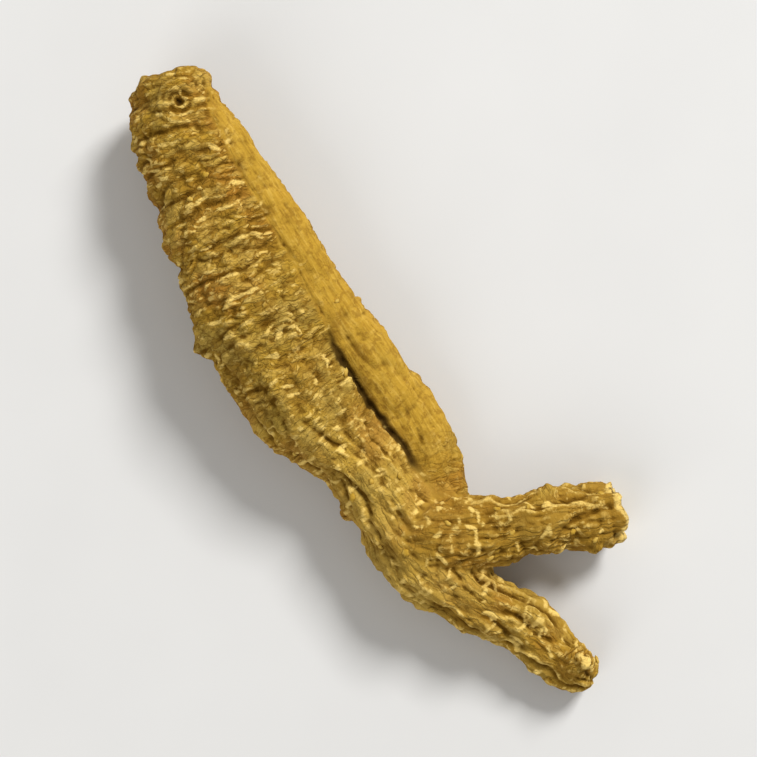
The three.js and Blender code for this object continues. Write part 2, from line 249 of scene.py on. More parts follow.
# How the skin is worked out.

TRUNK, LOBE, WEB, SIDE_LEG = range(4)  # the limbs' places in their list
LIMB_APART = 90.0  # keeps one limb's pattern from running on into the next limb's
GIVES_FLOW = np.array([1, 1, 0, 1])  # the limbs whose grain the skin follows: not the web's
CHUNK = 4000  # points looked up at a time
ROUNDS = 4  # how often the points are moved onto the melted limbs
LONGEST_MOVE = 0.6
BROAD, CLOSE = 40, 6  # passes of softening that heights are measured against
RAISED_GAIN, EDGE_GAIN, JOINT_GAIN = 0.8, 2.6, 2.5
TIP_EDGE, TIP_GAPS = (0.7, 1.0), (-0.5, 0.3)  # where the stub at the tip is pale
SEAM_PALE = 0.8  # how much of the ridges' paleness is in their colour


# Numbers that wander.

RING_GAIN, SPACE_GAIN = 1.6, 1.1  # these stretch the two kinds of noise to about -1 to 1
TILT = (0.7, 0.5, 0.3)  # turns a lattice off the limbs' own directions, so that it doesn't show
TURNED = np.array(Euler(TILT).to_matrix())
EDGES = np.array(  # the slopes that noise in space is made of, towards a cube's edges
    [(a, b, 0) for a in (-1, 1) for b in (-1, 1)]
    + [(a, 0, b) for a in (-1, 1) for b in (-1, 1)]
    + [(0, a, b) for a in (-1, 1) for b in (-1, 1)],
    float,
)


def smoothstep(low, high, value):
    """0 below low, 1 above high, and an even curve between."""
    share = np.clip((value - low) / (high - low), 0, 1)
    return share * share * (3 - 2 * share)


def ease(share):
    return share**3 * (share * (share * 6 - 15) + 10)


def dice(i, j, seed):
    """A fixed number from 0 to 1 for each corner of a flat lattice, as in the solid."""
    value = np.sin(i * 127.1 + j * 311.7 + seed * 74.7) * 43758.5453
    return value - np.floor(value)


def ring_noise(x, angle, cells, seed):
    """The solid's noise, about -1 to 1. It meets itself round the limb after whole cells."""
    y = angle / (2 * math.pi) * cells
    i, j = np.floor(x), np.floor(y)
    u, v = x - i, y - j

    def corner(di, dj):
        turn = 2 * math.pi * dice(i + di, np.mod(j + dj, cells), seed)
        return np.cos(turn) * (u - di) + np.sin(turn) * (v - dj)

    low = corner(0, 0) + ease(u) * (corner(1, 0) - corner(0, 0))
    high = corner(0, 1) + ease(u) * (corner(1, 1) - corner(0, 1))
    return RING_GAIN * (low + ease(v) * (high - low))


def scramble(cells, seed):
    """A fixed whole number, in no order, for each cell of a lattice in space."""
    mixed = (cells[:, 0] * 73856093) ^ (cells[:, 1] * 19349663) ^ (cells[:, 2] * 83492791)
    mixed = (mixed ^ (seed * 2654435761)) & 0xFFFFFFFF
    mixed = ((mixed ^ (mixed >> 15)) * 2246822519) & 0xFFFFFFFF
    return (mixed ^ (mixed >> 13)) & 0xFFFFFFFF


def noise(points, seed):
    """Smooth noise in space, about -1 to 1, with lumps about one unit across."""
    points = points @ TURNED
    cell = np.floor(points).astype(np.int64)
    local = points - cell
    blend = ease(local)
    total = np.zeros(len(points))
    for corner in itertools.product((0, 1), repeat=3):
        slope = EDGES[scramble(cell + corner, seed) % len(EDGES)]
        weight = np.prod(np.where(corner, blend, 1 - blend), axis=1)
        total += weight * ((local - corner) * slope).sum(1)
    return SPACE_GAIN * total


def pattern(name, points, draw=0, shift=0.0):
    """The named noise at each place, about -1 to 1."""
    size, seed = PATTERNS[name]
    return noise(points / size + shift, seed + draw)


def plates(points, seed):
    """How far each place lies inside its uneven plate's border, and a number for each plate."""
    points = points @ TURNED
    cell = np.floor(points).astype(np.int64)
    first = np.full(len(points), 9.0)
    second = first.copy()
    tone = np.zeros(len(points))
    for step in itertools.product((-1, 0, 1), repeat=3):
        at = cell + step
        middle = at + np.stack([scramble(at, seed + axis) for axis in range(3)], 1) / 2**32
        away = np.linalg.norm(points - middle, axis=1)
        nearer = away < first
        second = np.where(nearer, first, np.minimum(second, away))
        first = np.where(nearer, away, first)
        tone = np.where(nearer, scramble(at, seed + 3) / 2**32, tone)
    return second - first, tone


def crest(value, width):
    """1 on a thin crest, where the noise crosses nothing."""
    return np.exp(-((value / width) ** 2))


def crease(value, width):
    """-1 at the bottom of a crease, rising to a rounded ridge beside it."""
    return CREASE_RIDGE - (1 + CREASE_RIDGE) * crest(value, width)


# The limbs as curves.


def smooth_path(points, steps=36):
    """A curve through the points, with each span cut into even steps."""
    points = np.asarray(points, float)
    before, after = 2 * points[0] - points[1], 2 * points[-1] - points[-2]
    knots = np.vstack([before, points, after])
    t = np.linspace(0, 1, steps, endpoint=False)[:, None]
    spans = []
    for a, b, c, d in zip(knots, knots[1:], knots[2:], knots[3:]):
        spans.append(
            (2 * t**3 - 3 * t**2 + 1) * b
            + (t**3 - 2 * t**2 + t) * (c - a) / 2
            + (3 * t**2 - 2 * t**3) * c
            + (t**3 - t**2) * (d - b) / 2
        )
    return np.vstack([*spans, points[-1:]])


def unit(vectors):
    return vectors / np.linalg.norm(vectors, axis=-1, keepdims=True)


class Limb:
    """A tube along a curve: where its middle line, radius and cross frame lie at close steps."""

    def __init__(self, name, points, height=1.0, start="round", end="round", **relief):
        path = smooth_path(points)
        self.name = name
        self.height = height
        self.ends = (ENDS[start], ENDS[end])
        self.relief = relief
        self.centre, self.radius = path[:, :3], path[:, 3]
        steps = np.linalg.norm(np.diff(self.centre, axis=0), axis=1)
        self.distance = np.concatenate([[0], np.cumsum(steps)])
        self.length = self.distance[-1]
        self.tangent = unit(np.gradient(self.centre, axis=0))
        self.side = unit(np.cross((0, 0, 1), self.tangent))
        self.up = np.cross(self.tangent, self.side)

    def locate(self, points):
        """Where points lie by this limb, as a dictionary of arrays."""
        nearest = np.empty(len(points), int)
        lengths = (self.centre**2).sum(1)
        for first in range(0, len(points), CHUNK):
            block = points[first:first + CHUNK]
            nearest[first:first + CHUNK] = (lengths - 2 * block @ self.centre.T).argmin(1)
        away = points - self.centre[nearest]
        tangent, side, up = (axes[nearest] for axes in (self.tangent, self.side, self.up))
        distance = self.distance[nearest] + (away * tangent).sum(1)
        x = (away * side).sum(1)
        rise = (away * up).sum(1)
        y = rise / self.height
        flat = np.maximum(np.hypot(x, y), 1e-6)
        radius = np.interp(distance, self.distance, self.radius)
        late = distance > self.length
        reach = np.where(late, self.ends[1][0], self.ends[0][0])
        power = np.where(late, self.ends[1][1], self.ends[0][1])
        past = np.maximum(np.maximum(distance - self.length, -distance), 0) / reach
        size = (flat**power + past**power) ** (1 / power)
        slope_out = (flat / size) ** (power - 1)
        slope_past = (past / size) ** (power - 1) / reach
        steep = np.hypot(slope_out, slope_past)
        outward = side * (x / flat)[:, None] + up * (y / flat)[:, None]
        axial = tangent * np.where(late, 1.0, -1.0)[:, None]
        normal = outward * (slope_out / steep)[:, None] + axial * (slope_past / steep)[:, None]
        return {
            "depth": (size - radius) / steep,
            "normal": unit(normal),
            "tangent": tangent,
            "place": np.stack([distance, x, rise], 1),
            "distance": distance,
            "angle": np.mod(np.arctan2(y, x), 2 * math.pi),
            "radius": radius,
            "share": np.clip(flat / radius, 0, 1),
            "past": past / radius,
        }

    def tube(self, sides=28, stride=5):
        """A plain closed tube, as points and faces, that the skin is first laid over."""
        turn = np.linspace(0, 2 * math.pi, sides, endpoint=False)
        picks = list(range(0, len(self.centre), stride)) + [len(self.centre) - 1]
        before = [(0, share, -past * self.ends[0][0]) for share, past in CAP_RINGS]
        after = [(-1, share, past * self.ends[1][0]) for share, past in reversed(CAP_RINGS)]
        rings = []
        for pick, share, past in before + [(pick, 1.0, 0.0) for pick in picks] + after:
            radius = self.radius[pick]
            ring = (
                self.centre[pick]
                + self.tangent[pick] * past * radius
                + self.side[pick] * (share * radius * np.cos(turn))[:, None]
                + self.up[pick] * (share * radius * self.height * np.sin(turn))[:, None]
            )
            rings.append(ring)
        last = len(rings) - 1
        faces = [
            (corner, after, after + sides, corner + sides)
            for ring in range(0, last * sides, sides)
            for corner, after in zip(
                range(ring, ring + sides), [*range(ring + 1, ring + sides), ring])
        ]
        faces += [tuple(reversed(range(sides))), tuple(range(last * sides, (last + 1) * sides))]
        return np.vstack(rings), faces


def large_relief(limb, near, wander):
    """The solid's own lumps, growth rings and furrows, in millimetres, with a little wander."""
    sizes = limb.relief
    distance, angle = near["distance"], near["angle"]
    seed = sizes["seed"]
    lump = sizes["lump"] * ring_noise(distance / LUMP_SPACING, angle, LUMP_CELLS, seed)
    ringed = 1.0
    if limb.name == "trunk":
        ringed = 1 - smoothstep(RING_FADE * RING_END, RING_END, distance)
    bend = RING_BEND * ring_noise(distance / RING_BEND_LENGTH, angle, BEND_CELLS, seed + 1)
    rings = ring_noise((distance + bend) / RING_SPACING, angle, sizes["ring_cells"], seed + 2)
    ring = sizes["ring"] * (RING_LEAST + (1 - RING_LEAST) * ringed)
    ring = ring * crease(rings + wander, RING_WIDTH)
    drift = FURROW_DRIFT * ring_noise(distance / FURROW_DRIFT_LENGTH, angle, BEND_CELLS, seed + 3)
    rise = smoothstep(*(share * limb.length for share in FURROW_RISE), distance)
    furrows = ring_noise(distance / FURROW_LENGTH, angle + drift, sizes["furrows"], seed + 4)
    furrow = sizes["furrow"] * (FURROW_LEAST + (1 - FURROW_LEAST) * rise)
    furrow = furrow * crease(furrows - FURROW_WANDER * wander, FURROW_WIDTH)
    return (lump + ring + furrow) * smoothstep(*CAP_FADE, near["share"])


def stem_scar(near):
    """The dish that the dead stem left on the head, and how much of a place is its dark eye."""
    across = (near["angle"] - SCAR_TURN) * near["radius"]
    away = np.hypot(near["distance"] - SCAR_ALONG, across) / SCAR_RADIUS
    dish, ringed, eye = (1 - smoothstep(*edge, away) for edge in SCAR_EDGES)
    rim = crest(away - SCAR_RIM[0], SCAR_RIM[1])
    rings = np.cos(away * SCAR_RING_TURN) * ringed
    forms = zip(SCAR_HEIGHTS, (rim, dish, rings, eye))
    return sum(height * form for height, form in forms), eye


def resting_patch(near):
    """From 0 to 1, how far the skin is pressed smooth under the belly."""
    along = (near["distance"] - REST_AT) / REST_LENGTH
    turn = (near["angle"] - 1.5 * math.pi) / REST_TURN
    return 1 - smoothstep(*REST_EDGE, np.hypot(along, turn))


def limbs_of_root():
    trunk = Limb("trunk", TRUNK_POINTS, 0.94, "head", "round",
                 ring=0.34, ring_cells=4, furrow=0.55, furrows=9, lump=0.7, seed=1)
    lobe = Limb("lobe", LOBE_POINTS, 1.0, "round", "round",
                ring=0.12, ring_cells=2, furrow=0.25, furrows=5, lump=0.4, seed=21)
    web = Limb("web", WEB_POINTS, 1.0, "round", "round",
               ring=0.0, ring_cells=2, furrow=0.0, furrows=2, lump=0.3, seed=61)
    side_leg = Limb("side_leg", SIDE_LEG_POINTS, 1.0, "round", "cut",
                    ring=0.22, ring_cells=3, furrow=0.55, furrows=6, lump=0.3, seed=41)
    limbs = [trunk, lobe, web, side_leg]
    named = {limb.name: limb for limb in limbs}
    stubs = []
    for name, share, degrees, length, radius, lean in STUBS:
        limb, angle = named[name], math.radians(degrees)
        pick = int(np.searchsorted(limb.distance, share * limb.length))
        out = limb.side[pick] * math.cos(angle) + limb.up[pick] * math.sin(angle)
        foot = limb.centre[pick] + out * limb.radius[pick]
        along = unit(out + lean * limb.tangent[pick])
        steps = [(-STUB_ROOT, STUB_FOOT)] + [(share * length, wide) for share, wide in STUB_SHAPE]
        stubs.append(Limb("stub", [
            (*(foot + out_by * along), wide * radius) for out_by, wide in steps]))
    return limbs, stubs


def healed_at(points):
    """From 1 to 0, how far the lobe's upper end has healed onto the trunk."""
    return 1 - smoothstep(*CRACK[:2], points[:, 0])


def softness_at(points, sizes):
    """How widely the limbs melt together: more where the lobe has healed."""
    return sizes.softness + HEALED_SOFTNESS * healed_at(points)


def melt(limbs, points, softness):
    """How deep points lie in the melted limbs, the way out, and each limb's share of a place."""
    near = [limb.locate(points) for limb in limbs]
    depths = np.array([one["depth"] for one in near])
    least = depths.min(0)
    shares = np.exp(-(depths - least) / softness)
    total = shares.sum(0)
    depth = least - softness * np.log(total)
    shares /= total
    normal = unit(sum(share[:, None] * one["normal"] for share, one in zip(shares, near)))
    return depth, normal, shares, near


class Web:
    """The edges between a mesh's points, to spread or soften a value over them."""

    def __init__(self, mesh):
        pairs = np.empty(len(mesh.edges) * 2, int)
        mesh.edges.foreach_get("vertices", pairs)
        self.a, self.b = pairs.reshape(-1, 2).T
        self.count = len(mesh.vertices)
        ends = np.concatenate([self.a, self.b])
        self.valence = np.maximum(np.bincount(ends, minlength=self.count), 1)

    def soften(self, values, passes, pull=0.5):
        values = np.array(values, float)
        for _ in range(passes):
            columns = values.reshape(self.count, -1).T
            mean = np.stack([self.mean(column) for column in columns], 1)
            values += pull * (mean.reshape(values.shape) - values)
        return values

    def mean(self, values):
        total = np.bincount(self.a, values[self.b], self.count)
        total += np.bincount(self.b, values[self.a], self.count)
        return total / self.valence


def laid_over(limbs, voxel):
    """One closed mesh, in millimetres, over plain tubes along the limbs."""
    points, faces = [], []
    start = 0
    for limb in limbs:
        tube, walls = limb.tube()
        points.append(tube)
        faces += [tuple(start + corner for corner in wall) for wall in walls]
        start += len(tube)
    mesh = bpy.data.meshes.new("tubes")
    mesh.from_pydata(np.vstack(points).tolist(), [], faces)
    tubes = bpy.data.objects.new("tubes", mesh)
    bpy.context.scene.collection.objects.link(tubes)
    remesh = tubes.modifiers.new("skin", "REMESH")
    remesh.mode = "VOXEL"
    remesh.voxel_size = voxel
    skin = bpy.data.meshes.new_from_object(
        tubes.evaluated_get(bpy.context.evaluated_depsgraph_get()))
    bpy.data.objects.remove(tubes)
    bpy.data.meshes.remove(mesh)
    return skin


def points_of(mesh):
    values = np.empty(len(mesh.vertices) * 3)
    mesh.vertices.foreach_get("co", values)
    return values.reshape(-1, 3)


def bare_skin(points, normals, shares, near):
    """How far each place has the lobe's smooth skin, from 0 to 1, with an edge that wanders."""
    healed = healed_at(points)
    inside = near[TRUNK]["depth"] - near[LOBE]["depth"]
    for name, (usual, more) in LOBE_WANDER.items():
        inside = inside + (usual + more * healed) * pattern(name, points)
    edge = smoothstep(*(usual + more * healed for usual, more in LOBE_EDGE), inside)
    turned = normals[:, 2] + LOBE_TURN_WANDER * pattern("lobe_turn", points)
    upward = smoothstep(*LOBE_TURN, turned)
    faded = 1 - LOBE_FADED * smoothstep(*LOBE_FADE, points[:, 0])
    return edge * (1 - shares[SIDE_LEG]) * faded * (LOBE_BELOW + (1 - LOBE_BELOW) * upward)


def shingles(places, shape, seed):
    """Uneven plates of skin, each with its own height."""
    inside, tone = plates(places / shape, seed)
    least, more = PLATE_HEIGHT
    return smoothstep(0, PLATE_EDGE, inside) * (least + more * tone)


def fine_relief(sizes, points, shares, near, flow, bare):
    """Fine plates, wrinkles, lumps and grain, in millimetres, where the limbs' skin has them."""
    trunk, lobe, _, side_leg = shares[:4]
    legs = np.clip(side_leg + trunk * smoothstep(*LEG_RELIEF, near[TRUNK]["distance"]), 0, 1)
    body = np.clip(trunk - legs, 0, 1)
    smooth = 1 - LOBE_SMOOTH * bare

    bent = flow + DRIFT * np.stack([pattern("drift", points, axis) for axis in range(3)], 1)
    plate = shingles(bent, PLATE_SHAPE * sizes.ridge_spacing, PLATE_DRAW)
    sliver = shingles(bent, SLIVER_SHAPE * sizes.ridge_spacing, SLIVER_DRAW)
    patch = smoothstep(-PATCH_EDGE, PATCH_EDGE, pattern("patches", points))
    patch = PATCH_LEAST + (1 - PATCH_LEAST) * patch
    slivers = SLIVER_SHARE * legs
    cracked = ((1 - slivers) * plate + slivers * sliver) * patch - PLATE_SINK

    pleats = flow / PLEAT_SHAPE
    pleats[:, 1:] += PLEAT_DRIFT * pattern("pleats", points)[:, None]
    strand = crest(pattern("strands", pleats) - STRAND[0], STRAND[1])
    fold = crest(pattern("folds", pleats * FOLD_STRETCH, shift=FOLD_SHIFT) - FOLD[0], FOLD[1])
    pleated = PLEAT_SHARES["body"] * body + legs + PLEAT_SHARES["lobe"] * lobe
    knob = smoothstep(*LUMP_EDGE, pattern("lumps", points))
    return (
        sizes.ridge_height * cracked * smooth
        + sizes.wrinkle_height * pleated * (STRAND_HEIGHT * strand - fold)
        + sizes.knob_height * knob * smooth
        + sizes.grain_height * pattern("grain", points)
        + STUB_ROUGH * shares[4:].sum(0) * pattern("stubs", points)
    )


def crest_line(limb, points, near):
    """How much of each place is a pale ridge along the limb, from 0 to 1."""
    broken = smoothstep(*CREST_GAPS, pattern("crest_gaps", points))
    line = np.zeros(len(points))
    for turn, width, strength in CREST_LINES[limb.name]:
        place = turn + CREST_WANDER * pattern("crests", points, shift=CREST_SHIFT * turn)
        across = (near["angle"] - place) * near["radius"]
        line = np.maximum(line, strength * crest(across, width))
    return line * smoothstep(*CREST_START[limb.name], near["distance"]) * broken


def corky_dashes(sizes, points, normals, across, shares):
    """How much of each place is a corky dash that lies across the limb, from 0 to 1."""
    random = np.random.default_rng(sizes.seed)
    x, y, z = points.T
    favour = shares[TRUNK] + DASH_ON_SIDE_LEG * shares[SIDE_LEG] + DASH_ON_LOBE * shares[LOBE]
    favour *= normals[:, 2] > DASH_BELOW
    for middle_x, middle_y, reach, more in DASH_CLUSTERS:
        away = np.hypot(x - middle_x, y - middle_y) / reach
        favour *= 1 + more * crest(away, 1)
    picks = random.choice(len(points), sizes.dashes, replace=False, p=favour / favour.sum())
    legs = shares[SIDE_LEG] + shares[TRUNK] * smoothstep(*LEG_DASHES, x)
    turn = DASH_TURN[0] + DASH_TURN[1] * legs
    marks = [
        (pick, random.uniform(*sizes.dash_length) / 2, random.uniform(*sizes.dash_width) / 2,
         random.standard_t(3) * turn[pick], random.uniform(*DASH_STRENGTH))
        for pick in picks
    ]
    for mark_x, mark_y, *shape in MARKS:
        away = np.hypot(x - mark_x, y - mark_y) - 0.5 * z
        marks.append((int(away.argmin()), *shape, MARK_STRENGTH))

    wander = DASH_WANDER * pattern("dashes", points)
    dash = np.zeros(len(points))
    for pick, half, width, tilt, strength in marks:
        normal = normals[pick]
        lie = across[pick] * math.cos(tilt) + np.cross(normal, across[pick]) * math.sin(tilt)
        other = np.cross(normal, lie)
        away = points - points[pick]
        found = np.flatnonzero((away**2).sum(1) < (DASH_REACH * half) ** 2)
        away = away[found]
        u = (away @ lie) / half
        v = (away @ other) / width + wander[found] + DASH_BOW * (1 - u * u)
        shape = strength * (1 - smoothstep(*DASH_EDGE, np.hypot(np.abs(u) ** 1.6, v)))
        dash[found] = np.maximum(dash[found], shape)
    return dash


def set_attribute(mesh, name, values):
    kind = "FLOAT" if values.ndim == 1 else "FLOAT_VECTOR"
    attribute = mesh.attributes.new(name, kind, "POINT")
    attribute.data.foreach_set("value" if values.ndim == 1 else "vector", values.ravel())


def grain_of(normal, shares, near, web):
    """The leading limb's own lengths and its crossways at each place, and where grains meet."""
    leader = (shares[:4] * GIVES_FLOW[:, None]).argmax(0)
    jump = np.maximum(web.mean(leader) != leader, 0.0)
    joint = np.clip(JOINT_GAIN * web.soften(jump, CLOSE), 0, 1)
    picks = np.arange(len(leader))
    flow, tangent = (
        np.array([one[name] for one in near[:4]])[leader, picks] for name in ("place", "tangent"))
    flow[:, 0] += LIMB_APART * leader
    return flow, unit(np.cross(normal, tangent) + 1e-9), joint


def cut_end(points, share, near, leg):
    """How much of each place is the side leg's cut face, and how much is its ragged rim."""
    beyond = near["distance"] - leg.length
    flesh = share * smoothstep(*CUT_FACE, near["past"]) * (beyond > 0)
    ragged = sum(height * pattern(name, points) for name, height in CUT_RAGGED.items())
    return flesh, share * smoothstep(*CUT_RIM, beyond + ragged) * (1 - flesh)


def grow_skin(sizes):
    """The root's skin, in metres, with what its finish needs stored on its points."""
    limbs, stubs = limbs_of_root()
    everything = limbs + stubs
    mesh = laid_over(everything, sizes.voxel)
    points = points_of(mesh)
    for _ in range(ROUNDS):
        depth, normal, shares, near = melt(everything, points, softness_at(points, sizes))
        points -= normal * np.clip(depth, -LONGEST_MOVE, LONGEST_MOVE)[:, None]
    depth, normal, shares, near = melt(everything, points, softness_at(points, sizes))
    web = Web(mesh)
    normal = unit(web.soften(normal, 3))
    trunk, side_leg = shares[TRUNK], shares[SIDE_LEG]

    middle, reach = RELIEF_WANDER
    wander = middle + reach * pattern("relief", points)
    relief = sum(share * large_relief(limb, one, wander)
                 for limb, share, one in zip(limbs, shares, near))
    scar, eye = stem_scar(near[TRUNK])
    relief += trunk * scar
    flow, across, joint = grain_of(normal, shares, near, web)
    flesh, rim = cut_end(points, side_leg, near[SIDE_LEG], limbs[SIDE_LEG])
    bare = bare_skin(points, normal, shares, near)
    fine = fine_relief(sizes, points, shares, near, flow, bare) * (1 - JOINT_SMOOTH * joint)
    for name, height in JOINT_RELIEF.items():
        fine += joint * height * pattern(name, points)
    fine *= 1 - CUT_SMOOTH * flesh
    dash = corky_dashes(sizes, points, normal, across, shares)
    dash = dash * (1 - flesh) * (1 - DASH_ON_BARE * bare)
    seam = sum(shares[pick] * crest_line(limbs[pick], points, near[pick])
               for pick in (SIDE_LEG, TRUNK))
    relief += fine + sizes.dash_height * dash + CREST_HEIGHT * seam
    relief -= CUT_DISH * flesh * (1 - near[SIDE_LEG]["share"] ** 2)

    x = points[:, 0]
    apart = near[LOBE]["depth"] - near[TRUNK]["depth"]
    apart = apart + CRACK_WANDER * pattern("groove", points)
    cracked = smoothstep(*CRACK[:2], x) - smoothstep(*CRACK[2:], x)
    groove = (CRACK_LEAST + (1 - CRACK_LEAST) * cracked) * (1 - side_leg)
    groove *= crest(apart, CRACK_WIDTH)
    relief -= CRACK_DEPTH * groove**2
    relief *= 1 - trunk * resting_patch(near[TRUNK])

    points = points + normal * relief[:, None]
    points[:, 2] = np.maximum(points[:, 2], 0)
    points = web.soften(points, 1, 0.25)
    mesh.vertices.foreach_set("co", (points * MM).ravel())
    mesh.update()
    mesh.polygons.foreach_set("use_smooth", np.ones(len(mesh.polygons), bool))

    # raised and edge: how far the relief stands above its broad and its close surroundings. The
    # skin's finish paints shade into the low places and highlights onto the high ones.
    raised, edge = (
        np.clip(0.5 + gain * (relief - web.soften(relief, passes)), 0, 1)
        for gain, passes in ((RAISED_GAIN, BROAD), (EDGE_GAIN, CLOSE)))
    tip = smoothstep(*TIP_EDGE, shares[len(limbs)]) * smoothstep(*TIP_GAPS, pattern("tip", points))
    for name, values in {
        "raised": raised,
        "edge": edge,
        # Painted shade in the groove beside the lobe, and the same dark colour on the stem scar's
        # eye.
        "groove": web.soften(np.maximum(groove, eye * trunk), 2),
        "dash": dash,
        "flesh": flesh,
        "rim": np.maximum(rim, SEAM_PALE * seam) + tip,
        "lobe": web.soften(bare, 2),
        "core": near[SIDE_LEG]["share"],
        "joint": joint,
        "legs": np.clip(side_leg + trunk * smoothstep(*LEG_COLOUR, near[TRUNK]["distance"]), 0, 1),
        # The side leg, which the skin's finish paints darker as shade.
        "side": side_leg,
        "flow": flow,
    }.items():
        set_attribute(mesh, name, values)
    return mesh


# Node trees.


class Value:
    """What a node puts out. Python arithmetic on a number adds Math nodes."""

    def __init__(self, nodes, socket):
        self.nodes = nodes
        self.socket = socket

    def maths(self, operation, first, second):
        return self.nodes.add("ShaderNodeMath", {"operation": operation}, {0: first, 1: second})

    def __add__(self, other):
        return self.maths("ADD", self, other)

    def __sub__(self, other):
        return self.maths("SUBTRACT", self, other)

    def __rsub__(self, other):
        return self.maths("SUBTRACT", other, self)

    def __mul__(self, other):
        return self.maths("MULTIPLY", self, other)

    __radd__ = __add__
    __rmul__ = __mul__


class Nodes:
    """A node tree under construction."""

    def __init__(self, tree):
        self.tree = tree

    def add(self, kind, settings=None, sockets=None, output=0):
        """Adds a node, with its settings first and then its sockets, and gives one output."""
        node = self.tree.nodes.new(kind)
        for name, setting in (settings or {}).items():
            setattr(node, name, setting)
        for key, given in (sockets or {}).items():
            if isinstance(given, Value):
                self.tree.links.new(given.socket, node.inputs[key])
            else:
                node.inputs[key].default_value = given
        return Value(self, node.outputs[output]) if node.outputs else None


class Shader(Nodes):
    """A material under construction."""

    def __init__(self, name):
        self.material = bpy.data.materials.new(name)
        self.material.use_nodes = True
        super().__init__(self.material.node_tree)
        self.tree.nodes.clear()

    def attribute(self, name, output="Fac"):
        return self.add("ShaderNodeAttribute", {"attribute_name": name}, output=output)

    def noise(self, where, scale, detail, roughness=0.55, output=0):
        return self.add("ShaderNodeTexNoise", None, {
            "Vector": where, "Scale": scale, "Detail": detail, "Roughness": roughness}, output)

    def stretched(self, where, stretch):
        return self.add("ShaderNodeMapping", None, {
            "Vector": where, "Scale": stretch, "Rotation": TILT})

    def plates(self, where, stretch):
        """How far each place lies inside its uneven plate's border, and a number for each plate."""
        sockets = {"Vector": self.stretched(where, stretch), "Scale": 1.0}
        border, hue = (
            self.add("ShaderNodeTexVoronoi", {"feature": feature}, sockets, output)
            for feature, output in (("DISTANCE_TO_EDGE", "Distance"), ("F1", "Color")))
        return border, self.add("ShaderNodeSeparateColor", None, {"Color": hue}, "Red")

    def step(self, value, low, high):
        """0 below low and 1 above high, with an even curve between."""
        return self.add("ShaderNodeMapRange", {"interpolation_type": "SMOOTHSTEP"}, {
            "Value": value, "From Min": low, "From Max": high})

    def mix(self, share, first, second):
        """Two colours mixed, each a socket or a linear colour."""
        first, second = (
            colour if isinstance(colour, Value) else (*colour, 1.0) for colour in (first, second))
        return self.add("ShaderNodeMix", {"data_type": "RGBA"}, {0: share, 6: first, 7: second}, 2)

    def layers(self, colour, layers):
        """A colour with others laid over it in order, each with how much of it is seen."""
        for share, over in layers:
            colour = self.mix(share, colour, over)
        return colour

    def bump(self, height, strength, distance):
        return self.add("ShaderNodeBump", None, {
            "Strength": strength, "Distance": distance * MM, "Height": height})

    def finish(self, colour, rough, **sockets):
        surface = self.add("ShaderNodeBsdfPrincipled", None, {
            "Base Color": colour, "Roughness": rough, **sockets})
        self.add("ShaderNodeOutputMaterial", None, {"Surface": surface})
        return self.material


# Materials.

SKIN_NOISE = {  # lumps in a metre, detail and roughness
    "blotch": (190.0, 3.0, 0.55), "tint": (130.0, 4.0, 0.6), "cloud": (620.0, 5.0, 0.6),
    "speck": (2600.0, 4.0, 0.65), "mottle": (1000.0, 3.0, 0.7), "patches": (260.0, 2.0, 0.55),
}
STREAK_STRETCH = (0.35, 2.6, 2.6)
BEND_REACH = 0.9
PLATE_STRETCH = (1.35, 0.5, 0.5)
SLIVER_STRETCH = (0.26, 1.4, 1.4)
FINE_STRETCH = (2.4, 1.05, 1.05)
LEG_TURNS_DARK = (34 * MM, 42 * MM)  # x where the legs' pale skin gives way to darker skin
DRY = {"IOR": 1.45, "Specular IOR Level": 0.1}


